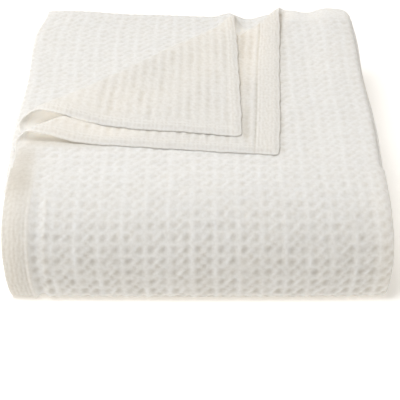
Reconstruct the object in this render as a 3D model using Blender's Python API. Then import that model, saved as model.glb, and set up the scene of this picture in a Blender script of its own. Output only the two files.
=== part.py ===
"""A waffle weave cotton blanket, folded into a thick square pad with one corner turned back.

The cloth is one sheet. Its section runs back and forth in 24 layers: the outermost one comes from
a free edge at the top, goes forward, rolls round the front in one large soft nose, runs back under
the pad and then zigzags up inside the roll to a second free edge under the first. The back left
corners of those two free ends are turned over together on a diagonal, so the reverse of the
cloth shows as two stepped flaps. Metres, +Z up, the nose towards -Y.
"""

import math

import bmesh
import bpy
import numpy as np

# The cloth and its layers
SHEET = 0.0030  # thickness over the ridges of the weave
PITCH = 0.0041  # from the middle of one layer to the middle of the next
LAYERS = 24
FLOOR_LAYER = SHEET / 2
TOP_LAYER = FLOOR_LAYER + (LAYERS - 1) * PITCH

# The pad, with y measured back from the line where the nose meets the floor
HALF_WIDTH = 0.1965  # of the layers inside
EDGE_INSET = 0.0018  # their edges lie this far in, and differ by layer and by place
EDGE_BY_LAYER = 0.0016
EDGE_BY_PLACE = 0.0008
FLOOR_WIDENS_OVER = 0.1200  # from the nose, in the lowest layer
FOLD_NARROW = 0.0040  # from a fold inside the nose, and then the length of its widening
FOLD_WIDENS_OVER = 0.0450
OUTER_HALF = 0.1926  # of the outer sheet, measured along the cloth
SIDE_FLAT = 0.1795  # the outer sheet is flat to here, then turns down over the side
RIGHT_MORE = 0.0040  # how much farther out it turns down at the right, on the pad's top
COVERED_HALF = 0.1795  # of the layers that end under that turn
SECOND_LEFT = 0.1930  # of the second sheet where it comes out from under the first
SECOND_OUT = 0.1400  # the y from which it comes out, over the next length
SECOND_OUT_OVER = 0.0280
# How the left edges of the two turned corners bow, by distance from their hems
OUTER_BOW = dict(depth=-0.0026, middle=0.145, width=0.075)
SECOND_BOW = dict(depth=0.0040, middle=0.125, width=0.055)
BACK = 0.4200  # centre of the folds at the back
BACK_UNEVEN = 0.0035
BACK_LEAN = 0.0055  # how much further back the upper folds lie
OUTER_HEM = 0.4040  # free edge of the outer sheet at the turned corner
OUTER_SLANT = 0.0100  # how much further back that edge lies at the right
OUTER_SLANT_OVER = 0.1500
SECOND_HEM = 0.4020
SECOND_SLANT = -0.035  # drift of that edge forward, for each metre to the right
SECOND_SLANT_OVER = 0.2000

# The nose: a long shoulder above its foremost line and a short curve under it
NOSE_FRONT = -0.0030
NOSE_HEIGHT = 0.0240
SHOULDER_REACH = 0.0950
SHOULDER_POWER = 2.3
UNDER_REACH = 0.0085
FOLD_CLEARANCE = 0.0014  # from the outer sheet to the folds inside the nose

# How far the outer sheet's edges turn round the side, by place
TURN_TOP_LEFT = math.radians(40)
TURN_TOP_RIGHT = math.radians(65)
TURN_NOSE = math.radians(35)
TURN_LEAST = 0.02  # where the cloth is straight, in radians
TURN_CHANGE = 0.1000  # the length over which the turn at the top becomes that of the nose
TURN_END = 0.0500  # and that over which it ends, at the floor

# Each diagonal fold: its angle and a point on it, the radius of its bend in the middle and at
# both ends, how far those ends reach, the layers that the flap rests on, how soon it settles
# on them, and how the flap's cut departs from a true square corner
FOLDS = {
    "outer": dict(
        angle=math.radians(43.3), x=-0.0531, y=0.2488,
        middle=0.0034, left=0.0080, back=0.0066, left_reach=0.080, back_reach=0.045,
        rest=1, settle=0.029, stretch=1.0, slide=0.0,
    ),
    "second": dict(
        angle=math.radians(43.4), x=-0.0677, y=0.2643,
        middle=0.0090, left=0.0122, back=0.0130, left_reach=0.080, back_reach=0.045,
        rest=3, settle=0.036, stretch=1.10, slide=-0.06,
    ),
}

# Places across the sheet, as shares of its half width, where the mesh has a column
FINE_COLUMNS = (0.0, 0.25, 0.5, 0.7, 0.84, 0.93, 0.965, 1.0)
PLAIN_COLUMNS = (0.0, 0.25, 0.5, 0.84, 1.0)
# Places from front to back where every layer has a row
PLAIN_ROWS = (0.130, 0.240, 0.340)
BACK_ROWS = (0.372, 0.396)  # more of them, where the upper layers dip at the back
FINE_ROW = 0.034
NOSE_STEPS = (9, 4)  # above its foremost line and below it
TURN_STEPS = 4  # in each fold
SMOOTH_NOSE = (60, 30)  # the same, to place the folds inside it
NEAR = 1e-6  # lengths that differ by less are the same
STEP = 1e-4  # along the section, to find its direction

BEND_CUTS = 5  # cuts along the tightest part of a diagonal fold, then to its widest part
WIDER_CUTS = 4
FLAP_CUTS = (0.010, 0.022, 0.036, 0.060)  # and over its flap, past the bend
CUT_MERGE = 6e-4  # a cut this near to a corner of the mesh goes through it

# The pad's unevenness. It fades downwards with this power of the height, the roll's sooner
FADE = 3
ROLL_FADE = 10
CROWN = dict(height=0.0022, y=0.030, length=0.440)
WAVES = (
    dict(height=0.0007, across=23, back=9, start=0.5),
    dict(height=0.0005, across=-17, back=41, start=0.0),
)
# Rises that come in from one x to another and from one y to another
RISES = (
    dict(height=0.0060, x=(-0.080, -0.170), y=(0.28, 0.41)),  # the back left corner
    dict(height=0.0044, x=(0.045, 0.125), y=(0.27, 0.40)),  # the back, right of the flaps
)
# Troughs and ridges from front to back: the x of the middle, a width, and the y they come in
TROUGHS = (
    dict(height=-0.0034, x=0.045, width=0.060, y=(0.29, 0.42), least=0.0),
    dict(height=-0.0016, x=0.128, width=0.028, y=(0.15, 0.30), least=0.0),
)
ROLL = dict(height=0.0040, x=0.160, width=0.022, y=(0.20, 0.40), least=0.3)

# The sides: their reach at the height where the pad is widest, and how far they draw in
WIDEST_AT = 0.0550
WIDEST_LEFT = 0.1972
WIDEST_RIGHT = 0.1918
TUCK_LOW = 0.0064
TUCK_HIGH = 0.0040
TUCK_HIGH_OVER = 0.0450
NOSE_LEFT = -0.0040  # what the nose adds to the reach
NOSE_RIGHT = 0.0014
NOSE_OVER = 0.0450
REAR_LEFT = dict(tuck=0.0070, y=(0.37, 0.43), z=(0.05, 0.09))
SIDE_WAVE = 0.0008
NOSE_BOW = dict(depth=0.0030, length=0.100, half=0.190)  # the nose's ends curve back

SHARP = math.radians(50)
COTTON = (0.86, 0.84, 0.80, 1.0)
ROUGHNESS = 0.9


def layer_height(layer):
    return FLOOR_LAYER + layer * PITCH


def nose_curve(steps_above, steps_below):
    """(y, z) down the nose, from the end of the flat top to the start of the flat bottom."""
    power = 2 / SHOULDER_POWER
    points = []
    for i in range(steps_above + 1):
        turn = math.pi / 2 * (1 - i / steps_above)
        y = NOSE_FRONT + SHOULDER_REACH * (1 - max(math.cos(turn), 0.0) ** power)
        z = NOSE_HEIGHT + (TOP_LAYER - NOSE_HEIGHT) * math.sin(turn) ** power
        points.append((y, z))
    for i in range(1, steps_below + 1):
        turn = math.pi / 2 * i / steps_below
        y = NOSE_FRONT + UNDER_REACH * (1 - max(math.cos(turn), 0.0) ** power)
        z = NOSE_HEIGHT - (NOSE_HEIGHT - FLOOR_LAYER) * math.sin(turn) ** power
        points.append((y, z))
    return points


def front_fold(layer):
    """Centre y of the fold that joins this layer to the one above, just inside the nose."""
    curve = nose_curve(*SMOOTH_NOSE)
    low = layer_height(layer) - SHEET / 2
    high = layer_height(layer + 1) + SHEET / 2
    near = [(y, z) for y, z in curve if low - SHEET < z < high + SHEET]
    inner = []
    for (y0, z0), (y1, z1) in zip(near, near[1:]):
        run = math.hypot(y1 - y0, z1 - z0)
        offset = SHEET / 2 + FOLD_CLEARANCE
        inner.append((y0 + (z0 - z1) / run * offset, z0 + (y1 - y0) / run * offset))
    reach = max(y for y, z in inner if low <= z <= high)
    return reach + PITCH / 2 + SHEET / 2


def back_fold(layer):
    """Centre y of the fold at the back that joins this layer to the one above."""
    return BACK + BACK_UNEVEN * math.sin(1.9 * layer + 0.6) + BACK_LEAN * (layer / LAYERS) ** 2


def section():
    """Rows along the sheet, from its top free edge to the second one: (y, z, layer, is_fine)."""
    rows = []
    flat_end = NOSE_FRONT + SHOULDER_REACH
    steps = round((OUTER_HEM - flat_end) / FINE_ROW)
    for i in range(steps):
        y = OUTER_HEM + (flat_end - OUTER_HEM) * i / steps
        rows.append((y, TOP_LAYER, LAYERS - 1, True))
    rows += [(y, z, LAYERS - 1, True) for y, z in nose_curve(*NOSE_STEPS)]
    rows += [(y, FLOOR_LAYER, 0, True) for y in PLAIN_ROWS]
    turns = [math.pi * (i / TURN_STEPS - 0.5) for i in range(TURN_STEPS + 1)]
    for layer in range(LAYERS - 2):
        goes_back = layer % 2 == 0
        centre = back_fold(layer) if goes_back else front_fold(layer)
        side = 1 if goes_back else -1
        middle = layer_height(layer + 0.5)
        fine = layer == 0 or layer >= LAYERS - 4
        for turn in turns:
            y = centre + side * PITCH / 2 * math.cos(turn)
            rows.append((y, middle + PITCH / 2 * math.sin(turn), layer + 0.5, fine))
        between = PLAIN_ROWS + BACK_ROWS if layer >= LAYERS - 6 else PLAIN_ROWS
        between = between[::-1] if goes_back else between
        if layer + 1 == LAYERS - 2:
            first = rows[-1][0]
            steps = round((SECOND_HEM - first) / FINE_ROW)
            between = [first + (SECOND_HEM - first) * i / steps for i in range(1, steps + 1)]
        rows += [(y, layer_height(layer + 1), layer + 1, layer + 1 >= LAYERS - 3) for y in between]
    return rows


ROWS = section()
ROW_Y = np.array([row[0] for row in ROWS])
ROW_Z = np.array([row[1] for row in ROWS])
ROW_LAYER = np.array([row[2] for row in ROWS])
ROW_S = np.concatenate([[0.0], np.cumsum(np.hypot(np.diff(ROW_Y), np.diff(ROW_Z)))])
FLAT_TOP_END = ROW_S[np.argmax(ROW_Z < TOP_LAYER - NEAR) - 1]
NOSE_END = ROW_S[np.argmax(ROW_Z < FLOOR_LAYER + NEAR)]
SECOND_START = ROW_S[np.argmax(ROW_LAYER == LAYERS - 2)]


def ease(t):
    t = np.clip(t, 0.0, 1.0)
    return t * t * (3 - 2 * t)


def eased(value, span):
    """0 before the span, 1 after it, and smoothly between."""
    return ease((value - span[0]) / (span[1] - span[0]))


def bow(distance, shape):
    return shape["depth"] * math.exp(-(((distance - shape["middle"]) / shape["width"]) ** 2))


def right_more(s):
    """What the outer sheet's right side has over its left one, on the pad's top alone."""
    return RIGHT_MORE * (1 - ease((s - FLAT_TOP_END) / TURN_CHANGE))


def half_width(s, side):
    """The sheet's reach to one side (-1 left, 1 right) at this place along it."""
    if s <= NOSE_END:
        return OUTER_HALF + (bow(s, OUTER_BOW) if side < 0 else right_more(s))
    y = float(np.interp(s, ROW_S, ROW_Y))
    layer = float(np.interp(s, ROW_S, ROW_LAYER))
    uneven = EDGE_BY_LAYER * math.sin(2.3 * layer + side)
    uneven += EDGE_BY_PLACE * math.sin(31 * y + 1.7 * layer)
    full = HALF_WIDTH - EDGE_INSET + uneven
    if layer < 0.75:
        return OUTER_HALF + (full - OUTER_HALF) * float(ease(y / FLOOR_WIDENS_OVER))
    if layer > LAYERS - 2.75:
        out = float(ease((y - SECOND_OUT) / SECOND_OUT_OVER)) if side < 0 else 0.0
        bowed = bow(ROW_S[-1] - s, SECOND_BOW) if side < 0 else 0.0
        return COVERED_HALF + (SECOND_LEFT - COVERED_HALF) * out + bowed
    if layer > LAYERS - 3.75 and side > 0:
        return COVERED_HALF
    fold = front_fold(2 * math.floor((layer - 0.75) / 2) + 1)
    out = float(ease((y - fold - FOLD_NARROW) / FOLD_WIDENS_OVER))
    return COVERED_HALF + (full - COVERED_HALF) * out


def turned_over(x, y, fold):
    """(x, y, lift) of flat points of a sheet once its corner is turned over this fold."""
    cos, sin = math.cos(fold["angle"]), math.sin(fold["angle"])
    along = (x - fold["x"]) * cos + (y - fold["y"]) * sin
    beyond = (y - fold["y"]) * cos - (x - fold["x"]) * sin
    left_end = (-OUTER_HALF - fold["x"]) / cos
    back_end = (OUTER_HEM - fold["y"]) / sin
    radius = (
        fold["middle"]
        + (fold["left"] - fold["middle"]) * np.exp(-(((along - left_end) / fold["left_reach"]) ** 2))
        + (fold["back"] - fold["middle"]) * np.exp(-(((along - back_end) / fold["back_reach"]) ** 2))
    )
    angle = np.clip(beyond / radius, 0.0, math.pi)
    past = np.maximum(beyond - math.pi * radius, 0.0)
    settled = 1 - np.exp(-((past / fold["settle"]) ** 2))
    lift = radius * (1 - np.cos(angle)) - (2 * radius - fold["rest"] * PITCH) * settled
    out = np.where(beyond < 0, beyond, radius * np.sin(angle) - past * fold["stretch"])
    along = along + fold["slide"] * past
    return fold["x"] + along * cos - out * sin, fold["y"] + along * sin + out * cos, lift


def over_side(x, s):
    """(x, drop) of points of the outer sheet where its edges turn down over the pad's sides."""
    past_top = ease((s - FLAT_TOP_END) / TURN_CHANGE)
    under = ease((s - NOSE_END + TURN_END) / TURN_END)
    top = np.where(x < 0, TURN_TOP_LEFT, TURN_TOP_RIGHT)
    end = (top + (TURN_NOSE - top) * past_top) * (1 - under)
    end = np.maximum(end, TURN_LEAST)
    radius = (OUTER_HALF - SIDE_FLAT) / end
    flat_to = SIDE_FLAT + np.where(x < 0, 0.0, right_more(s))
    angle = np.maximum(np.abs(x) - flat_to, 0.0) / radius
    inside = np.minimum(np.abs(x), flat_to)
    return np.sign(x) * (inside + radius * np.sin(angle)), radius * (1 - np.cos(angle))


def trough(x, y, shape):
    """The height at (x, y) of a ridge, or of a trough where it is negative."""
    across = np.exp(-(((x - shape["x"]) / shape["width"]) ** 2))
    along = shape["least"] + (1 - shape["least"]) * eased(y, shape["y"])
    return shape["height"] * across * along


def unevenness(x, y):
    """How far the pad's top rises, but for the roll at its right."""
    crown = np.sin(np.pi * np.clip((y - CROWN["y"]) / CROWN["length"], 0, 1))
    rise = CROWN["height"] * crown
    for wave in WAVES:
        rise = rise + wave["height"] * np.sin(wave["across"] * x + wave["back"] * y + wave["start"])
    for shape in RISES:
        rise = rise + shape["height"] * eased(x, shape["x"]) * eased(y, shape["y"])
    for shape in TROUGHS:
        rise = rise + trough(x, y, shape)
    return rise


def reach_at(x, y, z):
    """How far the pad's side reaches, on the side that x is on."""
    low = np.clip((WIDEST_AT - z) / WIDEST_AT, 0.0, 1.0)
    high = np.clip((z - WIDEST_AT) / TUCK_HIGH_OVER, 0.0, 1.2)
    tuck = TUCK_LOW * low**2 + TUCK_HIGH * high**2
    nose = np.exp(-np.maximum(y - NOSE_FRONT, 0.0) / NOSE_OVER)
    rear = REAR_LEFT["tuck"] * eased(y, REAR_LEFT["y"]) * eased(z, REAR_LEFT["z"])
    left = WIDEST_LEFT + NOSE_LEFT * nose - rear
    right = WIDEST_RIGHT + NOSE_RIGHT * nose
    return np.where(x < 0, left, right) - tuck + SIDE_WAVE * np.sin(37 * y + 1.0)


def settle(x, y, z):
    """The whole pad's unevenness: its crown, its rolls and hollows, and its sides' bulge."""
    share = np.clip(z / TOP_LAYER, 0.0, 1.0)
    z = z + unevenness(x, y) * share**FADE + trough(x, y, ROLL) * share**ROLL_FADE
    x = x * reach_at(x, y, z) / HALF_WIDTH
    at_front = np.clip(1 - np.maximum(y, 0.0) / NOSE_BOW["length"], 0, 1)
    at_ends = np.clip(np.abs(x) / NOSE_BOW["half"], 0, 1) ** 4
    return x, y + NOSE_BOW["depth"] * at_front * at_ends, z


def place(x, s):
    """The middle of the cloth, for points x across the flat sheet and s along its section."""
    y = np.interp(s, ROW_S, ROW_Y)
    z = np.interp(s, ROW_S, ROW_Z)
    near_start = np.clip(1 - s / OUTER_SLANT_OVER, 0.0, 1.0)
    near_end = ease(1 - (ROW_S[-1] - s) / SECOND_SLANT_OVER)
    y = y + OUTER_SLANT * ease(x / OUTER_SLANT_OVER) * near_start
    y = y + SECOND_SLANT * (x + SECOND_LEFT) * near_end
    outer = s <= NOSE_END
    second = s >= SECOND_START
    x_a, y_a, lift_a = turned_over(x, y, FOLDS["outer"])
    x_b, y_b, lift_b = turned_over(x, y, FOLDS["second"])
    top = s <= FLAT_TOP_END
    x = np.where(top, x_a, np.where(second, x_b, x))
    y = np.where(top, y_a, np.where(second, y_b, y))
    lift = np.where(top, lift_a, np.where(second, lift_b, 0.0))
    ahead_y = np.interp(s + STEP, ROW_S, ROW_Y) - np.interp(s - STEP, ROW_S, ROW_Y)
    ahead_z = np.interp(s + STEP, ROW_S, ROW_Z) - np.interp(s - STEP, ROW_S, ROW_Z)
    run = np.hypot(ahead_y, ahead_z)
    x_side, drop = over_side(x, s)
    drop = np.where(outer, drop, 0.0)
    # Inwards is to the right of the way along the section: under the top, behind the nose
    y = y + np.where(top, 0.0, drop * -ahead_z / run)
    z = z + np.where(top, lift - drop, np.where(second, lift, drop * ahead_y / run))
    return settle(np.where(outer, x_side, x), y, z)


def flat_sheet():
    """The sheet laid flat, x across and s along, with its columns and rows."""
    mesh = bmesh.new()
    lines = []
    for s, (_, _, _, fine) in zip(ROW_S, ROWS):
        shares = FINE_COLUMNS if fine else PLAIN_COLUMNS
        across = sorted({-u for u in shares} | set(shares))
        reach = {side: half_width(s, side) for side in (-1, 1)}
        lines.append([(u, mesh.verts.new((u * reach[1 if u > 0 else -1], s, 0.0))) for u in across])
    for line, above in zip(lines, lines[1:]):
        join_lines(mesh, line, above)
    return mesh


def join_lines(mesh, line, above):
    """Faces between two rows, which may have different columns."""
    i = j = 0
    while i < len(line) - 1 or j < len(above) - 1:
        u = line[i + 1][0] if i < len(line) - 1 else math.inf
        v = above[j + 1][0] if j < len(above) - 1 else math.inf
        corners = [line[i][1]]
        if u <= v:
            i += 1
            corners.append(line[i][1])
        if v <= u:
            corners.append(above[j + 1][1])
        corners.append(above[j][1])
        if v <= u:
            j += 1
        mesh.faces.new(corners)


def cut_along_fold(mesh, fold, start, end, y_of_start, direction):
    """Cuts the flat sheet parallel to a diagonal fold, close together where it bends."""
    cos, sin = math.cos(fold["angle"]), math.sin(fold["angle"])
    widest = math.pi * max(fold["left"], fold["back"])
    narrow = math.pi * fold["middle"]
    places = [narrow * i / BEND_CUTS for i in range(BEND_CUTS + 1)]
    places += [narrow + (widest - narrow) * i / WIDER_CUTS for i in range(1, WIDER_CUTS + 1)]
    places += [widest + gap for gap in FLAP_CUTS]
    for beyond in places:
        low, high = start - NEAR, end + NEAR
        faces = [f for f in mesh.faces if all(low <= v.co.y <= high for v in f.verts)]
        geometry = set(faces)
        for face in faces:
            geometry.update(face.verts)
            geometry.update(face.edges)
        x = fold["x"] - beyond * sin
        y = fold["y"] + beyond * cos
        s = start + (y - y_of_start) * direction
        bmesh.ops.bisect_plane(
            mesh, geom=list(geometry), dist=CUT_MERGE,
            plane_co=(x, s, 0), plane_no=(-sin, cos * direction, 0),
        )


def shell(mesh):
    """Gives the placed sheet its thickness, flat where it lies on the floor."""
    mesh.normal_update()
    middle = list(mesh.verts)
    faces = list(mesh.faces)
    border = [edge for edge in mesh.edges if edge.is_boundary]
    outer, inner = {}, {}
    for vertex in middle:
        offset = vertex.normal * (SHEET / 2)
        for side, sign in ((outer, 1), (inner, -1)):
            point = vertex.co + offset * sign
            point.z = max(point.z, 0.0)
            side[vertex] = mesh.verts.new(point)
    for face in faces:
        mesh.faces.new([outer[v] for v in face.verts])
        mesh.faces.new([inner[v] for v in reversed(face.verts)])
    for edge in border:
        loop = edge.link_loops[0]
        a, b = loop.vert, loop.link_loop_next.vert
        mesh.faces.new([outer[b], outer[a], inner[a], inner[b]])
    bmesh.ops.delete(mesh, geom=middle, context="VERTS")


def cotton():
    material = bpy.data.materials.new("cotton")
    material.use_nodes = True
    shader = material.node_tree.nodes["Principled BSDF"]
    shader.inputs["Base Color"].default_value = COTTON
    shader.inputs["Roughness"].default_value = ROUGHNESS
    shader.inputs["Metallic"].default_value = 0.0
    return material


def blanket():
    mesh = flat_sheet()
    outer_start = ROW_Y[0]
    cut_along_fold(mesh, FOLDS["outer"], 0.0, FLAT_TOP_END, outer_start, -1)
    second_y = float(np.interp(SECOND_START, ROW_S, ROW_Y))
    cut_along_fold(mesh, FOLDS["second"], SECOND_START, ROW_S[-1], second_y, 1)
    bmesh.ops.triangulate(mesh, faces=list(mesh.faces))
    flat = np.array([vertex.co[:2] for vertex in mesh.verts])
    x, y, z = place(flat[:, 0], flat[:, 1])
    for vertex, point in zip(mesh.verts, zip(x, y, z)):
        vertex.co = point
    shell(mesh)
    low = [min(v.co[i] for v in mesh.verts) for i in range(2)]
    high = [max(v.co[i] for v in mesh.verts) for i in range(2)]
    centre = (-(low[0] + high[0]) / 2, -(low[1] + high[1]) / 2, 0.0)
    bmesh.ops.translate(mesh, verts=list(mesh.verts), vec=centre)
    data = bpy.data.meshes.new("blanket")
    mesh.to_mesh(data)
    mesh.free()
    data.shade_smooth()
    data.set_sharp_from_angle(angle=SHARP)
    data.materials.append(cotton())
    made = bpy.data.objects.new("blanket", data)
    bpy.context.scene.collection.objects.link(made)
    return made


for leftover in list(bpy.data.objects):
    bpy.data.objects.remove(leftover)
blanket()
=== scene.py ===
"""The looks of the folded waffle weave blanket: the same folded cloth with its weave, hems and light.

One strip of cloth runs back and forth in layers, as in the construction. Here it is a fine mesh with
the waffle's ridges and hollows on both sides. Points of the strip are given flat, as x across and s
along it, and then placed in the folded shape. Metres, +Z up, the nose towards -Y.
"""

import math

import bpy
import numpy as np
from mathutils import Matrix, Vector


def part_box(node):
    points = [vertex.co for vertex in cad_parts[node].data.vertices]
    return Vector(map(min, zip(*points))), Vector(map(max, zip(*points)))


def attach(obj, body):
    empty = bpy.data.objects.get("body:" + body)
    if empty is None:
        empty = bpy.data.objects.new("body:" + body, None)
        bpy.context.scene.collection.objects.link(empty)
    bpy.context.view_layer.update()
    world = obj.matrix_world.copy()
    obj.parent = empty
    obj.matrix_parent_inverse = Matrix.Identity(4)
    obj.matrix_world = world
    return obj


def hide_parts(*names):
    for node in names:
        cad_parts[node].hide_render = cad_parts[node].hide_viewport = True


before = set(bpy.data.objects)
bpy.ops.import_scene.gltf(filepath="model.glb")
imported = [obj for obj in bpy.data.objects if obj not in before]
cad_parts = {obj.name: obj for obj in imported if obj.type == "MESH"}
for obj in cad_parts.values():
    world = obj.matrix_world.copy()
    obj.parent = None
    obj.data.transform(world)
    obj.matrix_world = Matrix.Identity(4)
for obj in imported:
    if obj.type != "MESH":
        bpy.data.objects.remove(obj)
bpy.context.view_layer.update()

# -------- the folded strip, as built

SHEET = 0.0030  # thickness over the ridges of the weave
PITCH = 0.0041  # from the middle of one layer to the middle of the next
LAYERS = 24
FLOOR_LAYER = SHEET / 2
TOP_LAYER = FLOOR_LAYER + (LAYERS - 1) * PITCH

# The pad, with y measured back from the line where the nose meets the floor
HALF_WIDTH = 0.1965  # of the layers inside
EDGE_INSET = 0.0018  # their edges lie this far in, and differ by layer and by place
EDGE_BY_LAYER = dict(height=0.0016, layer=2.3)
EDGE_BY_PLACE = dict(height=0.0008, along=31, layer=1.7)
FLOOR_WIDENS_OVER = 0.1200  # from the nose, in the lowest layer
FOLD_NARROW = 0.0040  # from a fold inside the nose, and then the length of its widening
FOLD_WIDENS_OVER = 0.0450
EARLY_IN_FOLD = 0.25  # shares of the way round a fold, where a layer's own width starts or ends
LATE_IN_FOLD = 0.75
OUTER_HALF = 0.1926  # of the outer sheet, measured along the cloth
SIDE_FLAT = 0.1795  # the outer sheet is flat to here, then turns down over the side
RIGHT_MORE = 0.0040  # how much farther out it turns down at the right, on the pad's top
COVERED_HALF = 0.1795  # of the layers that end under that turn
SECOND_LEFT = 0.1930  # of the second sheet where it comes out from under the first
SECOND_OUT = 0.1400  # the y from which it comes out, over the next length
SECOND_OUT_OVER = 0.0280
# How the left edges of the two turned corners bow, by distance from their hems
OUTER_BOW = dict(depth=-0.0026, middle=0.145, width=0.075)
SECOND_BOW = dict(depth=0.0040, middle=0.125, width=0.055)
BACK = 0.4200  # centre of the folds at the back
BACK_UNEVEN = dict(height=0.0035, layer=1.9, start=0.6)
BACK_LEAN = 0.0055  # how much further back the upper folds lie
OUTER_HEM = 0.4040  # free edge of the outer sheet at the turned corner
OUTER_SLANT = 0.0100  # how much further back that edge lies at the right
OUTER_SLANT_OVER = 0.1500
SECOND_HEM = 0.4020
SECOND_SLANT = -0.035  # drift of that edge forward, for each metre to the right
SECOND_SLANT_OVER = 0.2000
# Free edges lie a little out of line. At the hems this dies out over a short length
EDGE_WAVES = (
    dict(height=0.00030, along=210, start=0.5),
    dict(height=0.00025, along=97, start=2.0),
    dict(height=0.00022, along=420, start=1.1),
)
HEM_WAVES_OVER = 0.012
SECOND_WAVES_AT = 3  # the second hem has those of a place this much farther along

# The nose: a long shoulder above its foremost line and a short curve under it
NOSE_FRONT = -0.0030
NOSE_HEIGHT = 0.0240
SHOULDER_REACH = 0.0950
SHOULDER_POWER = 2.3
UNDER_REACH = 0.0085
FOLD_CLEARANCE = 0.0014  # from the outer sheet to the folds inside the nose

# How far the outer sheet's edges turn round the side, by place
TURN_TOP_LEFT = math.radians(40)
TURN_TOP_RIGHT = math.radians(65)
TURN_NOSE = math.radians(35)
TURN_LEAST = 0.02  # where the cloth is straight, in radians
TURN_CHANGE = 0.1000  # the length over which the turn at the top becomes that of the nose
TURN_END = 0.0500  # and that over which it ends, at the floor

# Each diagonal fold: its angle and a point on it, the radius of its bend in the middle and at
# both ends, how far those ends reach, the layers that the flap rests on, how soon it settles
# on them, and how the flap's cut departs from a true square corner
FOLDS = {
    "outer": dict(
        angle=math.radians(43.3), x=-0.0531, y=0.2488,
        middle=0.0034, left=0.0080, back=0.0066, left_reach=0.080, back_reach=0.045,
        rest=1, settle=0.029, stretch=1.0, slide=0.0,
    ),
    "second": dict(
        angle=math.radians(43.4), x=-0.0677, y=0.2643,
        middle=0.0090, left=0.0122, back=0.0130, left_reach=0.080, back_reach=0.045,
        rest=3, settle=0.036, stretch=1.10, slide=-0.06,
    ),
}

# The pad's unevenness. It fades downwards with this power of the height, the roll's sooner
FADE = 3
ROLL_FADE = 10
CROWN = dict(height=0.0022, y=0.030, length=0.440)
WAVES = (
    dict(height=0.0007, across=23, back=9, start=0.5),
    dict(height=0.0005, across=-17, back=41, start=0.0),
)
# Rises that come in from one x to another and from one y to another
RISES = (
    dict(height=0.0060, x=(-0.080, -0.170), y=(0.28, 0.41)),  # the back left corner
    dict(height=0.0044, x=(0.045, 0.125), y=(0.27, 0.40)),  # the back, right of the flaps
)
# Troughs and ridges from front to back: the x of the middle, a width, and the y they come in.
# The last four are narrow ones at the pad's back edge
TROUGHS = (
    dict(height=-0.0034, x=0.045, width=0.060, y=(0.29, 0.42)),
    dict(height=-0.0016, x=0.128, width=0.028, y=(0.15, 0.30)),
    dict(height=-0.0050, x=0.066, width=0.016, y=(0.36, 0.42)),
    dict(height=-0.0032, x=0.143, width=0.016, y=(0.36, 0.42)),
    dict(height=0.0030, x=0.118, width=0.012, y=(0.36, 0.42)),
    dict(height=0.0072, x=0.039, width=0.013, y=(0.34, 0.39)),
)
ROLL = dict(height=0.0040, x=0.160, width=0.022, y=(0.20, 0.40), least=0.3)

# The sides: their reach at the height where the pad is widest, and how far they draw in
WIDEST_AT = 0.0550
WIDEST_LEFT = 0.1972
WIDEST_RIGHT = 0.1918
TUCK_LOW = 0.0064
TUCK_HIGH = 0.0040
TUCK_HIGH_OVER = 0.0450
TUCK_HIGH_MOST = 1.2  # it stops growing at this many of those heights
NOSE_LEFT = -0.0040  # what the nose adds to the reach
NOSE_RIGHT = 0.0014
NOSE_OVER = 0.0450
REAR_LEFT = dict(tuck=0.0070, y=(0.37, 0.43), z=(0.05, 0.09))
SIDE_WAVE = dict(height=0.0008, along=37, start=1.0)
NOSE_BOW = dict(depth=0.0030, length=0.100, half=0.190, power=4)  # the nose's ends curve back

NEAR = 1e-6  # lengths that differ by less are the same
STEP = 3e-4  # along and across the cloth, to find its slope
SMOOTH_NOSE = (240, 90)  # steps down the nose, above its foremost line and below it
SMOOTH_TURN = 16  # steps round each fold

# -------- the weave

CELL = 0.0114  # one square of the waffle
PER_CELL = 6  # mesh steps in it, where it shows
GRID = CELL / PER_CELL
HOLLOW = 0.0017  # depth of a square
KNOT = 0.0008  # depth of the small dimple where its ridges cross
REVERSE_PITCH = 0.91  # its ridges lie closer together on the ribbed side
# How far the ridges wander, as shares of a square, in waves across and along the cloth
ROWS_WANDER = (
    dict(share=0.05, across=29, along=0, start=1.3),
    dict(share=0.03, across=170, along=0, start=2.0),
)
COLUMNS_WANDER = (
    dict(share=0.05, across=11, along=37, start=0.0),
    dict(share=0.04, across=31, along=90, start=0.0),
)
ZIGZAG = 0.16  # how far every other ridge of the face leans over and back
ZIGZAG_SHARPER = 0.35  # what a second, quicker wave adds to that
ZIGZAG_PATCHES = dict(share=0.30, across=43, start=1.0, along=57, slant=21)  # where it leans less
SQUARE_POWER = 0.75  # under 1, the squares are wide and their ridges narrow
COLUMN_POWER = 0.6  # the same for the valleys beside the tight ridges
# The least depth of each square, knot or stretch of a row, and what chance adds, as shares
SQUARE_VARIES = (0.80, 0.6)
KNOT_VARIES = (0.4, 1.2)
ROW_VARIES = (0.5, 0.8)
ROW_STRETCH = 2.3  # squares in such a stretch
KNOT_LEAST = 0.25  # the share of a knot's depth beside the tight ridges
KNOT_LOST = 0.6  # and that which is lost on the ribbed side
KNOT_SHADE = 0.60
# What the valleys, squares and beads give to the depth on each side, as shares of HOLLOW
FACE = dict(columns=0.28, squares=0.60, beads=0.30)
RIBBED = dict(columns=0.06, squares=0.20, rows=0.36)
CHANCE = (12.9898, 78.233, 43758.5453)  # large uneven numbers, to spread the shares evenly
PRESSED_FLAT = 0.50  # the share of the weave's depth that is lost on the pad's top
PRESSED_TO = (0.030, 0.140)  # past the flat top it comes back over this length
PRESSED_LAYERS = 3.5  # and below the top it is lost on this many layers
EDGE_STEPS = (0.0, 0.0003, 0.0009)  # mesh lines at a free edge, which is round
EDGE_ROUND = 0.0014


def ease(t):
    """0 up to 0, 1 from 1 on, and smoothly between."""
    t = np.clip(t, 0.0, 1.0)
    return t * t * (3 - 2 * t)


def eased(value, span):
    """0 before the span, 1 after it, and smoothly between."""
    return ease((value - span[0]) / (span[1] - span[0]))


def bump(value, middle, width):
    """A soft hump of height 1 round its middle."""
    return np.exp(-(((value - middle) / width) ** 2))


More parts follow.
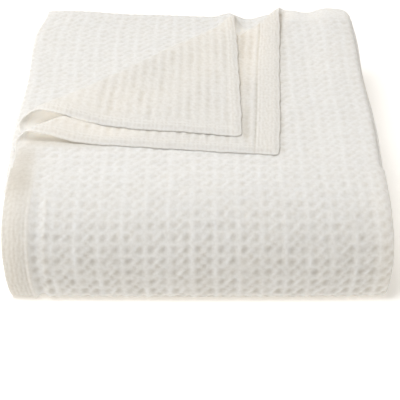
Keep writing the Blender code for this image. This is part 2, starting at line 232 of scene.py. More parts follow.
def layer_height(layer):
    return FLOOR_LAYER + layer * PITCH


def nose_curve(steps_above, steps_below):
    """y and z down the nose, from the end of the flat top to the start of the flat bottom."""
    power = 2 / SHOULDER_POWER
    above = np.pi / 2 * (1 - np.arange(steps_above + 1) / steps_above)
    below = np.pi / 2 * np.arange(1, steps_below + 1) / steps_below
    flat_above = np.maximum(np.cos(above), 0.0) ** power
    flat_below = np.maximum(np.cos(below), 0.0) ** power
    y = np.concatenate([SHOULDER_REACH * (1 - flat_above), UNDER_REACH * (1 - flat_below)])
    z_above = NOSE_HEIGHT + (TOP_LAYER - NOSE_HEIGHT) * np.sin(above) ** power
    z_below = NOSE_HEIGHT - (NOSE_HEIGHT - FLOOR_LAYER) * np.sin(below) ** power
    return NOSE_FRONT + y, np.concatenate([z_above, z_below])


def front_fold(layer):
    """Centre y of the fold inside the nose that joins this layer to the one above."""
    y, z = nose_curve(*SMOOTH_NOSE)
    run = np.hypot(np.diff(y), np.diff(z))
    offset = SHEET / 2 + FOLD_CLEARANCE
    inner_y = y[:-1] - np.diff(z) / run * offset
    inner_z = z[:-1] + np.diff(y) / run * offset
    low = layer_height(layer) - SHEET / 2
    high = layer_height(layer + 1) + SHEET / 2
    beside = (inner_z >= low) & (inner_z <= high)
    return float(inner_y[beside].max()) + PITCH / 2 + SHEET / 2


def back_fold(layer):
    """Centre y of the fold at the back that joins this layer to the one above."""
    uneven = BACK_UNEVEN["height"] * math.sin(BACK_UNEVEN["layer"] * layer + BACK_UNEVEN["start"])
    return BACK + uneven + BACK_LEAN * (layer / LAYERS) ** 2


def section():
    """The strip's path from its top free edge to the second one, as arrays y, z and layer."""
    nose_y, nose_z = nose_curve(*SMOOTH_NOSE)
    ys, zs, layers = [OUTER_HEM], [TOP_LAYER], [LAYERS - 1]
    ys += list(nose_y)
    zs += list(nose_z)
    layers += [LAYERS - 1] * (len(nose_y) - 1) + [0]
    for layer in range(LAYERS - 2):
        goes_back = layer % 2 == 0
        centre = back_fold(layer) if goes_back else front_fold(layer)
        side = 1 if goes_back else -1
        for i in range(SMOOTH_TURN + 1):
            turn = math.pi * (i / SMOOTH_TURN - 0.5)
            ys.append(centre + side * PITCH / 2 * math.cos(turn))
            zs.append(layer_height(layer + 0.5) + PITCH / 2 * math.sin(turn))
            layers.append(layer + i / SMOOTH_TURN)
    ys.append(SECOND_HEM)
    zs.append(layer_height(LAYERS - 2))
    layers.append(LAYERS - 2)
    return np.array(ys), np.array(zs), np.array(layers, float)


PATH_Y, PATH_Z, PATH_LAYER = section()
PATH_S = np.concatenate([[0.0], np.cumsum(np.hypot(np.diff(PATH_Y), np.diff(PATH_Z)))])
FLAT_TOP_END = PATH_S[1]
NOSE_INDEX = len(nose_curve(*SMOOTH_NOSE)[0])
NOSE_END = PATH_S[NOSE_INDEX]
LENGTH = PATH_S[-1]
FRONT_FOLDS = {layer: front_fold(layer) for layer in range(1, LAYERS - 2, 2)}


def y_at(s):
    return np.interp(s, PATH_S, PATH_Y)


def s_at(layer, y):
    """Where along the strip this layer passes y."""
    layers = PATH_LAYER[NOSE_INDEX:]
    first = NOSE_INDEX + np.searchsorted(layers, layer - NEAR)
    last = NOSE_INDEX + np.searchsorted(layers, layer + NEAR, side="right") - 1
    low, high = PATH_S[first], PATH_S[last]
    y_low, y_high = y_at([low, high])
    return low + (high - low) * (y - y_low) / (y_high - y_low)


SECOND_START = s_at(LAYERS - 2, FRONT_FOLDS[LAYERS - 3])


def bow(distance, shape):
    return shape["depth"] * bump(distance, shape["middle"], shape["width"])


def right_more(s):
    """What the outer sheet's right side has over its left one, on the pad's top alone."""
    return RIGHT_MORE * (1 - ease((s - FLAT_TOP_END) / TURN_CHANGE))


def half_width(s, side):
    """The strip's reach to one side (-1 left, 1 right), for an array of places along it."""
    y = y_at(s)
    layer = np.interp(s, PATH_S, PATH_LAYER)
    by_place = EDGE_BY_PLACE["along"] * y + EDGE_BY_PLACE["layer"] * layer
    uneven = EDGE_BY_LAYER["height"] * np.sin(EDGE_BY_LAYER["layer"] * layer + side)
    uneven = uneven + EDGE_BY_PLACE["height"] * np.sin(by_place)
    full = HALF_WIDTH - EDGE_INSET + uneven
    fold_layer = np.clip(2 * np.floor((layer - LATE_IN_FOLD) / 2) + 1, 1, LAYERS - 3).astype(int)
    fold = np.array([FRONT_FOLDS[i] for i in fold_layer])
    out = ease((y - fold - FOLD_NARROW) / FOLD_WIDENS_OVER)
    inside = COVERED_HALF + (full - COVERED_HALF) * out
    if side < 0:
        top_out = ease((y - SECOND_OUT) / SECOND_OUT_OVER)
        second = COVERED_HALF + (SECOND_LEFT - COVERED_HALF) * top_out
        second = second + bow(LENGTH - s, SECOND_BOW)
        covered = layer > LAYERS - 3 + EARLY_IN_FOLD
    else:
        second = COVERED_HALF
        covered = layer > LAYERS - 4 + EARLY_IN_FOLD
    floor = OUTER_HALF + (full - OUTER_HALF) * ease(y / FLOOR_WIDENS_OVER)
    reach = np.where(covered, second, inside)
    reach = np.where(layer < LATE_IN_FOLD, floor, reach)
    if side < 0:
        outer = OUTER_HALF + bow(s, OUTER_BOW)
    else:
        outer = OUTER_HALF + right_more(s)
    return np.where(s <= NOSE_END, outer, reach)


def beyond_fold(x, y, fold):
    return (y - fold["y"]) * math.cos(fold["angle"]) - (x - fold["x"]) * math.sin(fold["angle"])


def turned_over(x, y, fold):
    """(x, y, lift) of flat points of a sheet once its corner is turned over this fold."""
    cos, sin = math.cos(fold["angle"]), math.sin(fold["angle"])
    along = (x - fold["x"]) * cos + (y - fold["y"]) * sin
    beyond = beyond_fold(x, y, fold)
    left_end = (-OUTER_HALF - fold["x"]) / cos
    back_end = (OUTER_HEM - fold["y"]) / sin
    radius = fold["middle"] + (fold["left"] - fold["middle"]) * bump(along, left_end, fold["left_reach"])
    radius = radius + (fold["back"] - fold["middle"]) * bump(along, back_end, fold["back_reach"])
    angle = np.clip(beyond / radius, 0.0, math.pi)
    past = np.maximum(beyond - math.pi * radius, 0.0)
    settled = 1 - bump(past, 0.0, fold["settle"])
    lift = radius * (1 - np.cos(angle)) - (2 * radius - fold["rest"] * PITCH) * settled
    out = np.where(beyond < 0, beyond, radius * np.sin(angle) - past * fold["stretch"])
    along = along + fold["slide"] * past
    return fold["x"] + along * cos - out * sin, fold["y"] + along * sin + out * cos, lift


def over_side(x, s):
    """(x, drop) of points of the outer sheet where its edges turn down over the pad's sides."""
    past_top = ease((s - FLAT_TOP_END) / TURN_CHANGE)
    under = ease((s - NOSE_END + TURN_END) / TURN_END)
    top = np.where(x < 0, TURN_TOP_LEFT, TURN_TOP_RIGHT)
    end = np.maximum((top + (TURN_NOSE - top) * past_top) * (1 - under), TURN_LEAST)
    radius = (OUTER_HALF - SIDE_FLAT) / end
    flat_to = SIDE_FLAT + np.where(x < 0, 0.0, right_more(s))
    angle = np.maximum(np.abs(x) - flat_to, 0.0) / radius
    inside = np.minimum(np.abs(x), flat_to)
    return np.sign(x) * (inside + radius * np.sin(angle)), radius * (1 - np.cos(angle))


def trough(x, y, shape):
    """The height at (x, y) of a ridge, or of a trough where it is negative."""
    least = shape.get("least", 0.0)
    along = least + (1 - least) * eased(y, shape["y"])
    return shape["height"] * bump(x, shape["x"], shape["width"]) * along


def unevenness(x, y):
    """How far the pad's top rises, but for the roll at its right."""
    rise = CROWN["height"] * np.sin(np.pi * np.clip((y - CROWN["y"]) / CROWN["length"], 0, 1))
    for wave in WAVES:
        rise = rise + wave["height"] * np.sin(wave["across"] * x + wave["back"] * y + wave["start"])
    for shape in RISES:
        rise = rise + shape["height"] * eased(x, shape["x"]) * eased(y, shape["y"])
    for shape in TROUGHS:
        rise = rise + trough(x, y, shape)
    return rise


def reach_at(x, y, z):
    """How far the pad's side reaches, on the side that x is on."""
    low = np.clip((WIDEST_AT - z) / WIDEST_AT, 0.0, 1.0)
    high = np.clip((z - WIDEST_AT) / TUCK_HIGH_OVER, 0.0, TUCK_HIGH_MOST)
    tuck = TUCK_LOW * low**2 + TUCK_HIGH * high**2
    nose = np.exp(-np.maximum(y - NOSE_FRONT, 0.0) / NOSE_OVER)
    rear = REAR_LEFT["tuck"] * eased(y, REAR_LEFT["y"]) * eased(z, REAR_LEFT["z"])
    left = WIDEST_LEFT + NOSE_LEFT * nose - rear
    right = WIDEST_RIGHT + NOSE_RIGHT * nose
    wave = SIDE_WAVE["height"] * np.sin(SIDE_WAVE["along"] * y + SIDE_WAVE["start"])
    return np.where(x < 0, left, right) - tuck + wave


def settle(x, y, z):
    """The whole pad's unevenness: its crown, its rolls and hollows, and its sides' bulge."""
    share = np.clip(z / TOP_LAYER, 0.0, 1.0)
    z = z + unevenness(x, y) * share**FADE + trough(x, y, ROLL) * share**ROLL_FADE
    x = x * reach_at(x, y, z) / HALF_WIDTH
    at_front = np.clip(1 - np.maximum(y, 0.0) / NOSE_BOW["length"], 0, 1)
    at_ends = np.clip(np.abs(x) / NOSE_BOW["half"], 0, 1) ** NOSE_BOW["power"]
    return x, y + NOSE_BOW["depth"] * at_front * at_ends, z


def wavy(distance):
    """How far a free edge lies out of its line, by the distance along it."""
    return sum(w["height"] * np.sin(w["along"] * distance + w["start"]) for w in EDGE_WAVES)


def place(x, s):
    """The middle of the cloth, as an array of points, for x across and s along the flat strip."""
    y = y_at(s)
    z = np.interp(s, PATH_S, PATH_Z)
    near_start = np.clip(1 - s / OUTER_SLANT_OVER, 0.0, 1.0)
    near_end = ease(1 - (LENGTH - s) / SECOND_SLANT_OVER)
    y = y + OUTER_SLANT * ease(x / OUTER_SLANT_OVER) * near_start
    y = y + SECOND_SLANT * (x + SECOND_LEFT) * near_end
    hem = np.minimum(s, LENGTH - s)
    y = y + wavy(x + SECOND_WAVES_AT * (s > SECOND_START)) * bump(hem, 0.0, HEM_WAVES_OVER)
    outer = s <= NOSE_END
    second = s >= SECOND_START
    x_a, y_a, lift_a = turned_over(x, y, FOLDS["outer"])
    x_b, y_b, lift_b = turned_over(x, y, FOLDS["second"])
    top = s <= FLAT_TOP_END
    x_side, drop = over_side(np.where(top, x_a, x), s)
    x = np.where(outer, x_side, np.where(second, x_b, x))
    y = np.where(top, y_a, np.where(second, y_b, y))
    lift = np.where(top, lift_a, np.where(second, lift_b, 0.0))
    ahead_y = y_at(s + STEP) - y_at(s - STEP)
    ahead_z = np.interp(s + STEP, PATH_S, PATH_Z) - np.interp(s - STEP, PATH_S, PATH_Z)
    run = np.hypot(ahead_y, ahead_z)
    drop = np.where(outer, drop, 0.0)
    y = y + np.where(top, 0.0, drop * -ahead_z / run)
    z = z + np.where(top, lift - drop, np.where(second, lift, drop * ahead_y / run))
    return np.stack(settle(x, y, z), axis=-1)


# -------- the cloth's surface

OUTER_BAND = 0.0255  # from a sheet's hem to its line of stitches
SECOND_BAND = 0.0115
SIDE_BAND = 0.0265  # from the outer sheet's left edge to the first square, on the nose
SIDE_RIBS = 0.0235  # its part with fine ribs
BAND_FADE = 0.0012  # the bands end over this length
RIB = 0.0046  # pitch of the fine ribs in those bands
RIB_DEPTH = 0.0007
RIB_SHADE = 0.45
# How far they wander, as shares of that pitch, in waves along each rib and across them
RIBS_WANDER = (
    dict(share=0.14, across=230, along=0, start=0.0),
    dict(share=0.10, across=510, along=40, start=0.0),
)
TICK = 0.0038  # pitch of the small marks along each fine rib
TICK_SHARE = 0.25  # their part of its depth
PLAIN_EDGE = (0.008, 0.024)  # the turned corners' ribs give way to dimples at their front hems
DIMPLE_DEPTH = 0.45  # as a share of a square's
DIMPLE_SHADE = 0.60
HEM_THICK = 0.0003  # what the turned cloth adds on each side
SEAM_DEPTH = 0.0009
SEAM_WIDTH = 0.0013
SEAM_SHADE = 0.5
CORNER = 0.0060  # radius of the sheets' corners
# The outer sheet's left edge on the nose, by distance from it: a ridge, a valley and a ridge
EDGE_FORMS = (
    dict(height=0.0013, middle=0.0255, width=0.0020),
    dict(height=-0.0020, middle=0.0340, width=0.0050),
    dict(height=0.0015, middle=0.0430, width=0.0032),
)
EDGE_FORMS_FROM = (0.030, 0.060)  # they come in over this length past the flat top

# The edges of the two top sheets: a painted glow stands in for the light that comes through them,
# they sink onto the cloth below and they are pressed thin, each within its own distance from the edge
LIP = 0.0024
LIP_PAINTED_GLOW = 0.35
DROOP = 0.0011
DROOP_WIDTH = 0.0120
THINNER = 0.45
THINNER_OVER = 0.0080
BEND_TURN = 0.0350  # past a fold's line, the cloth's outside turns the other way over this

# The painted shade and painted glow of the turned corners' open bends. Reaches are from the fold's line,
# the first before it and the others past it. All else is by depth, which is the distance in from the
# edge of the mouth
BEND_REACH = (0.045, 0.080)  # the shaded cloth below ends here
FLAP_REACH = (0.070, 0.110)  # and the light under the flap here
TURNED = (-0.003, 0.011)  # over this the cloth turns from the one into the other
BEND_EDGE = (0.003, 0.018)  # they start over these
FLAP_EDGE = (0.002, 0.020)
BEND_SHADE = 0.90
DEEPER = (0.008, 0.045)  # the light grows over this by these shares
DEEPER_BY = dict(outer=1.1, second=0.5)
DEEPEST = (0.040, 0.075)  # and what it has grown by goes again over this
BACK_END = (0.055, 0.100)  # it fades over this by the next share
AT_BACK = 0.85
UNDER_FLAP = (0.010, 0.032)  # the cloth below is lit too from here, by these shares
BELOW_BY = dict(outer=0.7, second=0.6)
BEND_PLAIN = 0.9  # the share of the weave that is lost in them
# The painted shade on the plain corner in front of the lower bend, from the left edge and by y
CORNER_REACH = (0.014, 0.038)
CORNER_FROM = (0.035, 0.085)
CORNER_TO = (0.105, 0.140)

REVERSE_STANDS = 0.7  # the weave's depth on the turned corners, as a share
FLAP_SHADE = 0.34  # how much darker they look
SIDE_SHADE = 0.50  # how much darker the fine ribs at the nose's left end look
SIDE_SHADE_FROM = (0.0, 0.040)  # from here on, past the flat top
MOST_SHADE = 1.3
# The soft shade to the right of each turned corner's hem: how far along the hem it goes, and
# its width at the front and the back
HEM_SHADE = 0.38
HEM_SHADES = dict(
    outer=dict(to=0.085, front=0.009, back=0.018),
    second=dict(to=0.045, front=0.012, back=0.022),
)
HEM_SHADE_GROWS = (0.20, 0.38)  # the y over which it widens
HEM_SHADE_TIP = (-0.004, 0.006)  # it comes in over this from the corner's tip back
HEM_SHADE_START = (-0.004, 0.0)  # and over this across the hem
HEM_POINTS = 80


def chance(i, j, seed):
    """An even share from 0 to 1 for each square of the waffle, always the same one."""
    value = np.sin(i * CHANCE[0] + j * CHANCE[1] + seed) * CHANCE[2]
    return value - np.floor(value)


def varied(varies, i, j, seed):
    return varies[0] + varies[1] * chance(i, j, seed)


def wander(across, along, waves):
    """The sum of some waves at a place, as shares of a pitch."""
    total = 0.0
    for w in waves:
        total = total + w["share"] * np.sin(w["across"] * across + w["along"] * along + w["start"])
    return total


def weave(x, s, ribs):
    """Depth of the waffle and its shade. ribs is 0 on the face, 1 where its ridges run across."""
    v = s / (CELL * (1 + (REVERSE_PITCH - 1) * ribs)) + wander(x, s, ROWS_WANDER)
    plain_u = x / CELL + wander(x, s, COLUMNS_WANDER)
    loose = 0.5 + 0.5 * np.sin(np.pi * plain_u)
    zigzag = np.sin(2 * np.pi * v) + ZIGZAG_SHARPER * np.sin(4 * np.pi * v)
    patch = ZIGZAG_PATCHES
    patches = np.sin(patch["across"] * x + patch["start"])
    patches = patches * np.sin(patch["along"] * s + patch["slant"] * x)
    leans = 1 - patch["share"] + patch["share"] * patches
    u = plain_u + ZIGZAG * zigzag * loose * leans * (1 - ribs)
    across = np.cos(np.pi * u) ** 2
    along = np.cos(np.pi * v) ** 2
    squares = (across * along) ** SQUARE_POWER * varied(SQUARE_VARIES, np.round(u), np.round(v), 1.0)
    knots = ((1 - across) * (1 - along)) ** 2 * varied(KNOT_VARIES, np.floor(u), np.floor(v), 2.0)
    knots = knots * (KNOT_LEAST + (1 - KNOT_LEAST) * loose) * (1 - KNOT_LOST * ribs)
    beads = (1 - across) ** 2 * chance(np.floor(u), np.round(v), 3.0)
    columns = across ** (COLUMN_POWER + (1 - COLUMN_POWER) * loose)
    face = FACE["columns"] * columns + FACE["squares"] * squares + FACE["beads"] * beads
    rows = RIBBED["rows"] * along + RIBBED["squares"] * squares
    rows = rows * varied(ROW_VARIES, np.round(v), np.floor(u / ROW_STRETCH), 4.0)
    main = face + (rows + RIBBED["columns"] * across - face) * ribs
    return HOLLOW * main + KNOT * knots, main + KNOT_SHADE * knots


def relief(s):
    """How much of the weave's depth stands: less where the outer sheet is pressed flat."""
    flat = (1 - eased(s - FLAT_TOP_END, PRESSED_TO)) * (s <= NOSE_END)
    under = np.interp(s, PATH_S, PATH_LAYER) > LAYERS - PRESSED_LAYERS
    return 1 - PRESSED_FLAT * np.where(s <= NOSE_END, flat, under)


def band_share(distance, band):
    return 1 - ease((distance - band) / BAND_FADE)


def on_top(s):
    """Where the strip is one of the two top sheets, which have free edges in sight."""
    return (s < FLAT_TOP_END) | (s > SECOND_START)


def to_side(x, left, right):
    return np.minimum(x + left, right - x)


def to_edge(x, s, left, right):
    """The distance to the nearest free edge, a side or a hem."""
    return np.minimum(to_side(x, left, right), np.minimum(s, LENGTH - s))


def open_bend(x, s, left):
    """The turned corners' open bends: painted shade on the cloth below, and painted glow for the light
    that comes through.
    """
    y = y_at(s)
    # below is the painted shade under each bend, and the next the painted glow for light through the
    # cloth
    below = np.zeros(np.broadcast(x, s).shape)
    painted_light = np.zeros(below.shape)
    for name, on in (("outer", s < FLAT_TOP_END), ("second", s > SECOND_START)):
        fold = FOLDS[name]
        beyond = beyond_fold(x, y, fold)
        # Before the fold's line, the flap's edge lies mirrored over the line
        mirrored = 2 * np.minimum(beyond, 0)
        to_hem = np.where(s > SECOND_START, LENGTH - s, s) + mirrored * math.cos(fold["angle"])
        depth = np.minimum(x + left + mirrored * math.sin(fold["angle"]), to_hem)
        turned = eased(beyond, TURNED)
        ahead = (1 - eased(-beyond, BEND_REACH)) * (1 - turned)
        at_mouth = 1 - eased(depth, DEEPEST)
        painted_light_below = BELOW_BY[name] * eased(depth, UNDER_FLAP) * ahead * at_mouth
        below = np.where(on, eased(depth, BEND_EDGE) * ahead - np.minimum(painted_light_below, 1), below)
        past = (1 - eased(beyond, FLAP_REACH)) * turned
        deeper = 1 + DEEPER_BY[name] * eased(depth, DEEPER) * at_mouth
        deeper = deeper * (1 - AT_BACK * eased(depth, BACK_END))
        painted_light = np.where(on, eased(depth, FLAP_EDGE) * past * deeper + painted_light_below, painted_light)
    # painted shade too on the plain corner in front of the lower bend
    along_side = eased(y, CORNER_FROM) * (1 - eased(y, CORNER_TO)) * (s < NOSE_END)
    corner = (1 - eased(x + left, CORNER_REACH)) * along_side
    return np.maximum(below, corner), painted_light


def bands(x, s, left):
    """Shares of the hems' bands and of the nose's left one, and the fine ribs in both."""
    start, end = s, LENGTH - s
    at_hem = np.where(start < end, band_share(start, OUTER_BAND), band_share(end, SECOND_BAND))
    on_nose = (s <= NOSE_END) & (s > FLAT_TOP_END)
    at_left = np.where(on_nose, band_share(x + left, SIDE_BAND), 0.0)
    hem_wins = at_hem >= at_left
    inwards = np.where(hem_wins, np.minimum(start, end), x + left)
    beside = np.where(hem_wins, x, s)
    has_ribs = np.where(hem_wins, 1.0, band_share(x + left, SIDE_RIBS))
    ribs = np.cos(np.pi * (inwards / RIB + wander(beside, inwards, RIBS_WANDER))) ** 2 * has_ribs
    ticks = np.cos(np.pi * beside / TICK + 2 * inwards / RIB) ** 2
    return at_hem, at_left, ribs * (1 - TICK_SHARE + TICK_SHARE * ticks)


def surface(x, s, left, right, ribs):
    """The heights, shades and glows of the cloth's two surfaces, and how its free edges round off."""
    from_left = x + left
    at_hem, at_left, fine_ribs = bands(x, s, left)
    band = np.maximum(at_hem, at_left)
    seam = bump(s, OUTER_BAND + SEAM_WIDTH, SEAM_WIDTH)
    edge = to_edge(x, s, left, right)
    rounded = np.sqrt(1 - (1 - np.clip(edge / EDGE_ROUND, 0, 1)) ** 2)
    lip = (1 - ease(edge / LIP)) * on_top(s)
    near_side = 1 - eased(from_left, PLAIN_EDGE)
    dimples = (np.cos(np.pi * from_left / RIB) * np.cos(np.pi * s / RIB)) ** 2
    side_shade = SIDE_SHADE * at_left * eased(s - FLAT_TOP_END, SIDE_SHADE_FROM)
    standing = relief(s)
    below, painted_light = open_bend(x, s, left)
    heights, shades, glows = [], [], []
    for reverse in (False, True):
        ribbed = 1 - ribs if reverse else ribs
        offset = CELL / 2 if reverse else 0.0
        depth, shade = weave(x + offset, s + offset, ribbed)
        depth = depth + (DIMPLE_DEPTH * HOLLOW * dimples - depth) * near_side * ribbed
        shade = shade + (DIMPLE_SHADE * dimples - shade) * near_side * ribbed
        depth = depth * (1 - band) + RIB_DEPTH * fine_ribs * band + SEAM_DEPTH * seam * reverse
        shade = shade * (1 - band) + RIB_SHADE * fine_ribs * band + SEAM_SHADE * seam * reverse
        on_flap = reverse != (s > SECOND_START)
        kept = np.where(on_flap, REVERSE_STANDS, standing)
        kept = kept * (1 - BEND_PLAIN * np.minimum(below + painted_light, 1) * (1 - on_flap))
        shade = shade * kept + side_shade + FLAP_SHADE * on_flap * on_top(s)
        # painted shade in the open bends
        shade = shade + BEND_SHADE * below * (1 - on_flap)
        heights.append((SHEET / 2 + HEM_THICK * at_hem - depth * kept) * rounded)
        shades.append(np.clip(shade, 0, MOST_SHADE))
        # painted glow: that of the open bends, and a little at the top sheets' edges
        glows.append(np.maximum(painted_light * (1 - on_flap), LIP_PAINTED_GLOW * lip))
    return heights, shades, glows, rounded


def edge_form(x, s, left):
    """How far the outer sheet's left edge stands out on the nose, on both sides alike."""
    comes_in = eased(s - FLAT_TOP_END, EDGE_FORMS_FROM) * (s <= NOSE_END)
    return sum(f["height"] * bump(x + left, f["middle"], f["width"]) for f in EDGE_FORMS) * comes_in


def facing(x, s):
    """-1 where the cloth's outside is up, 1 where it is down, and 0 inside the pad."""
    y = y_at(s)
    outer = 2 * ease(beyond_fold(x, y, FOLDS["outer"]) / BEND_TURN) * (s < FLAT_TOP_END) - 1
    second = 1 - 2 * ease(beyond_fold(x, y, FOLDS["second"]) / BEND_TURN)
    return np.where(s < NOSE_END, outer, np.where(s > SECOND_START, second, 0.0))


def thinned(x, s, left, right):
    """The share of its thickness that the cloth keeps, less beside the top sheets' edges."""
    return 1 - THINNER * (1 - ease(to_edge(x, s, left, right) / THINNER_OVER)) * on_top(s)


def pressed(x, s, left, right, kept):
    """How far the sheets' edges lie pressed onto the cloth below, along the outside."""
    sunk = DROOP * (1 - ease(to_side(x, left, right) / DROOP_WIDTH)) * on_top(s)
    return facing(x, s) * (sunk + (1 - kept) * SHEET / 2)


def beside_hem(points, hem):
    """The shade to the right of a turned corner's hem, on the cloth that it lies on."""
    shape = HEM_SHADES[hem]
    along = np.linspace(-OUTER_HALF, shape["to"], HEM_POINTS)
    line = place(along, np.full(along.shape, LENGTH if hem == "second" else 0.0))
    line = line[np.argsort(line[:, 1])]
    x, y = points[..., 0], points[..., 1]
    past = x - np.interp(y, line[:, 1], line[:, 0])
    reach = shape["front"] + (shape["back"] - shape["front"]) * eased(y, HEM_SHADE_GROWS)
    starts = eased(past, HEM_SHADE_START) * eased(y - line[0, 1], HEM_SHADE_TIP)
    return HEM_SHADE * (1 - ease(past / reach)) * starts


def outward(x, s):
    """Unit vectors off the cloth's outside, which is the top, the nose's front and the floor."""
    back_s, ahead_s = np.clip(s - STEP, 0, LENGTH), np.clip(s + STEP, 0, LENGTH)
    across = place(x + STEP, s) - place(x - STEP, s)
    along = place(x, ahead_s) - place(x, back_s)
    normal = -np.cross(across, along)
    return normal / np.linalg.norm(normal, axis=-1, keepdims=True)


# -------- meshes


def spaced(start, end, step):
    return np.linspace(start, end, max(1, round((end - start) / step)) + 1)


def grid_points(rows, shares):
    """x and s of a strip's mesh points, with close columns at its two free edges."""
    to_hem = np.clip(np.minimum(rows, LENGTH - rows), 0, CORNER)
    corner = CORNER - np.sqrt(CORNER**2 - (CORNER - to_hem) ** 2)
    left = (half_width(rows, -1) - corner + wavy(rows) * on_top(rows))[:, None]
    right = (half_width(rows, 1) - corner)[:, None]
    steps = np.array(EDGE_STEPS)[None, :]
    inner = -left + GRID + np.array(shares)[None, :] * (left + right - 2 * GRID)
    x = np.concatenate([-left + steps, inner, right - steps[:, ::-1]], axis=1)
    return x, np.broadcast_to(rows[:, None], x.shape), left, right


def side_faces(index, shown):
    """Faces over a grid of vertex numbers, four times as large where the cloth isn't shown."""
    rows, columns = index.shape
    first = len(EDGE_STEPS)
    block_rows, block_columns = (rows - 1) // 2, (columns - 1 - 2 * first) // 2
    coarse = np.zeros((block_rows, block_columns), bool)
    for i in range(block_rows):
        cells = shown[2 * i:2 * i + 2, first:first + 2 * block_columns]
        coarse[i] = ~cells.reshape(2, block_columns, 2).any(axis=(0, 2))
    coarse[[0, -1]] = False
    coarse[:, [0, -1]] = False
    quads = np.ones((rows - 1, columns - 1), bool)
    faces = []
    for i, j in zip(*np.nonzero(coarse)):
        r, c = 2 * i, first + 2 * j
        quads[r:r + 2, c:c + 2] = False
        ring = [index[r, c]]
        if not coarse[i - 1, j]:
            ring.append(index[r, c + 1])
        ring.append(index[r, c + 2])
        if not coarse[i, j + 1]:
            ring.append(index[r + 1, c + 2])
        ring.append(index[r + 2, c + 2])
        if not coarse[i + 1, j]:
            ring.append(index[r + 2, c + 1])
        ring.append(index[r + 2, c])
        if not coarse[i, j - 1]:
            ring.append(index[r + 1, c])
        faces.append(ring)
    r, c = np.nonzero(quads)
    ring = np.stack([index[r, c], index[r, c + 1], index[r + 1, c + 1], index[r + 1, c]], axis=1)
    return faces + ring.tolist()


def closed_end(top, low):
    """Faces between the two surfaces where a stretch of the strip ends inside the pad."""
    ring = zip(top[:-1].tolist(), top[1:].tolist(), low[1:].tolist(), low[:-1].tolist())
    rings = [list(dict.fromkeys(corners)) for corners in ring]
    return [corners for corners in rings if len(corners) > 2]


def cloth_strip(rows, shares, ribs, shown_outside, shown_inside):
    """Vertices, their marks (flat place, shade and glow) and faces of a thin shell."""
    x, s, left, right = grid_points(rows, shares)
    middle = place(x, s)
    normal = outward(x, s)
    (outside, inside), shades, glows, rounded = surface(x, s, left, right, ribs(x, s))
    flap = beyond_fold(x, y_at(s), FOLDS["outer"]) > 0
    is_outer = s < FLAT_TOP_END
    shades[0] = shades[0] + beside_hem(middle, "outer") * is_outer * ~flap
    shades[1] = shades[1] + beside_hem(middle, "second") * is_outer * flap
    thin = thinned(x, s, left, right)
    form = edge_form(x, s, left) + pressed(x, s, left, right, thin * rounded)
    high = middle + normal * (outside * thin + form)[..., None]
    low = middle + normal * (form - inside * thin)[..., None]
    count = x.size
    top_index = np.arange(count).reshape(x.shape)
    low_index = top_index + count
    low_index = np.where(rounded < NEAR, top_index, low_index)
    faces = side_faces(low_index, shown_inside(x, s)[:-1, :-1])
    faces += [ring[::-1] for ring in side_faces(top_index, shown_outside(x, s)[:-1, :-1])]
    faces += closed_end(top_index[0], low_index[0])
    faces += [ring[::-1] for ring in closed_end(top_index[-1], low_index[-1])]
    points = np.concatenate([high.reshape(-1, 3), low.reshape(-1, 3)])
    points[:, 2] = np.maximum(points[:, 2], 0.0)
    marks = [np.stack([x, s, *both], axis=-1).reshape(-1, 4) for both in zip(shades, glows)]
    return points, np.concatenate(marks), faces


def joined(strips):
    """Several strips as one list of points, marks and faces."""
    points, marks, faces, first = [], [], [], 0
    for strip_points, strip_marks, strip_faces in strips:
        points.append(strip_points)
        marks.append(strip_marks)
        faces += [[v + first for v in ring] for ring in strip_faces]
        first += len(strip_points)
    return np.concatenate(points), np.concatenate(marks), faces


def everywhere(x, s):
    return np.ones(x.shape, bool)


def nowhere(x, s):
    return np.zeros(x.shape, bool)


def plain_face(x, s):
    return np.zeros(x.shape)


# -------- the pieces of the strip

JOIN_Y = 0.4080  # the pieces meet here, out of sight between layers
BAND_GRID = 0.0023  # mesh step in the folds at the back
INNER_GRID = 2.1 * GRID  # and along the layers between them
CLOSE_COLUMNS = 5  # mesh columns at those layers' two sides
WIDE_COLUMNS = (0.06, 0.94, 7)  # between them, from one share of the width to another, and how many
FOLDS_BEHIND = range(0, LAYERS - 4, 2)
LAYERS_INSIDE = range(1, LAYERS - 4, 2)
RIBS_OVER = 0.05  # the second sheet's ridges come to run across over this length
# Where the cloth is in sight and has its fine mesh: past the nose's end, and then by distance
# past a turned corner's fold line
NOSE_SEEN = 0.01
OUTER_SEEN_TO = 0.025
FLAP_SEEN_FROM = -0.002
SECOND_SEEN = (-0.020, 0.035)  # from past the outer fold's line to past its own
THIRD_SEEN = dict(fold=-0.015, back=0.385, left=-0.175)  # or behind a y or left of an x


def even_columns(half, step):
    """Even places across a strip of this half width, as shares of it."""
    return np.linspace(0, 1, round((2 * half - 2 * GRID) / step) + 1)


def past_fold(x, s, name):
    return beyond_fold(x, y_at(s), FOLDS[name])


def outer_sheet():
    """From the top hem over the nose and along the floor."""
    fine = spaced(GRID, NOSE_END, GRID)
    under = spaced(NOSE_END, s_at(0, JOIN_Y), 2 * GRID)[1:]
    rows = np.concatenate([EDGE_STEPS, fine, under])

    def shows_outside(x, s):
        under_flap = (past_fold(x, s, "outer") > OUTER_SEEN_TO) & (s < FLAT_TOP_END)
        return (s < NOSE_END + NOSE_SEEN) & ~under_flap

    def shows_inside(x, s):
        return (past_fold(x, s, "outer") > FLAP_SEEN_FROM) & (s < FLAT_TOP_END)

    return cloth_strip(rows, even_columns(OUTER_HALF, GRID), plain_face, shows_outside, shows_inside)


